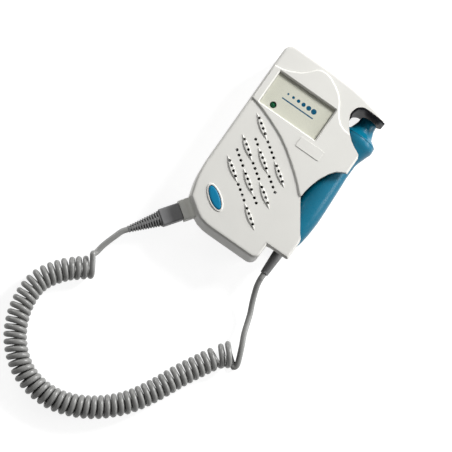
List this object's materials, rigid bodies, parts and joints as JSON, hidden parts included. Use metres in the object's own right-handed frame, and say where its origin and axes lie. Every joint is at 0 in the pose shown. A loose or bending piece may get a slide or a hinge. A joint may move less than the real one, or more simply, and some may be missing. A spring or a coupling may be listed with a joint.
{
  "type": "vascular doppler",
  "caption": "Handheld vascular doppler with a display window, speaker grille and side holster that holds a pencil probe on a curly cord.",
  "frame": {"origin": "on the flat back face, in the middle of the housing", "axes": "+X to the holster side, +Y to the top end, +Z out of the front face"},
  "size_m": [0.153, 0.2976, 0.0332],
  "materials": {
    "shell": "fine satin moulding",
    "charcoal": "matte",
    "card": "printed",
    "lens": "clear",
    "lamp": "tinted clear",
    "button_blue": "satin",
    "steel": "zinc plated",
    "black_plastic": "matte",
    "board": "solder mask",
    "tin": "tin plated",
    "cone_paper": "pressed pulp",
    "magnet": "sintered",
    "foam": "foam",
    "cell": "satin sleeve",
    "boss": "satin",
    "brass": "gold flash",
    "probe_blue": "satin gloss",
    "face_grey": "cast resin",
    "ceramic": "silvered",
    "plug_grey": "satin",
    "cord_grey": "satin jacket"
  },
  "bodies": {
    "housing": {"front_shell": "shell", "back_shell": "shell", "hook_liner": "charcoal", "holster_liner": "charcoal", "window_card": "card", "window_lens": "lens", "status_lamp": "lamp", "name_plate": "shell", "case_screw_1": "steel", "case_screw_2": "steel", "case_screw_3": "steel", "case_screw_4": "steel", "button_switch": "black_plastic", "switch_board": "board", "lamp_board": "board", "speaker_frame": "tin", "speaker_cone": "cone_paper", "speaker_magnet": "magnet", "speaker_gasket": "foam", "battery": "cell", "battery_snap": "black_plastic", "doppler_board": "board", "board_screw_1": "steel", "board_screw_2": "steel", "board_screw_3": "steel", "board_screw_4": "steel", "shield_can": "tin", "processor_chip": "black_plastic", "amplifier_chip": "black_plastic", "capacitor_1": "tin", "capacitor_2": "tin", "probe_socket": "boss", "socket_contacts": "brass", "probe_lead": "cord_grey", "curly_cord": "cord_grey", "plug_lead": "cord_grey"},
    "button": {"power_button": "button_blue", "switch_plunger": "black_plastic"},
    "door": {"battery_door": "shell"},
    "probe": {"probe_front_half": "probe_blue", "probe_back_half": "probe_blue", "transducer_face": "face_grey", "sending_crystal": "ceramic", "receiving_crystal": "ceramic", "crystal_backing": "black_plastic", "probe_board": "board", "probe_strain_relief": "plug_grey"},
    "plug": {"plug_body": "plug_grey", "plug_contacts": "brass", "plug_strain_relief": "plug_grey"}
  },
  "joints": [
    {"name": "button_press", "type": "slide", "parent": "housing", "child": "button", "axis": [0, 0, -1], "range_m": [0, 0.0008], "stiffness_N_per_m": 600},
    {"name": "door_slide", "type": "slide", "parent": "housing", "child": "door", "axis": [0, 1, 0], "range_m": [0, 0.05]},
    {"name": "probe_slide", "type": "slide", "parent": "housing", "child": "probe", "axis": [1, 0, 0], "range_m": [0, 0.035], "deforming": ["probe_lead"]},
    {"name": "plug_slide", "type": "slide", "parent": "housing", "child": "plug", "axis": [-0.5843, -0.8115, 0], "range_m": [0, 0.012], "deforming": ["plug_lead"]}
  ]
}
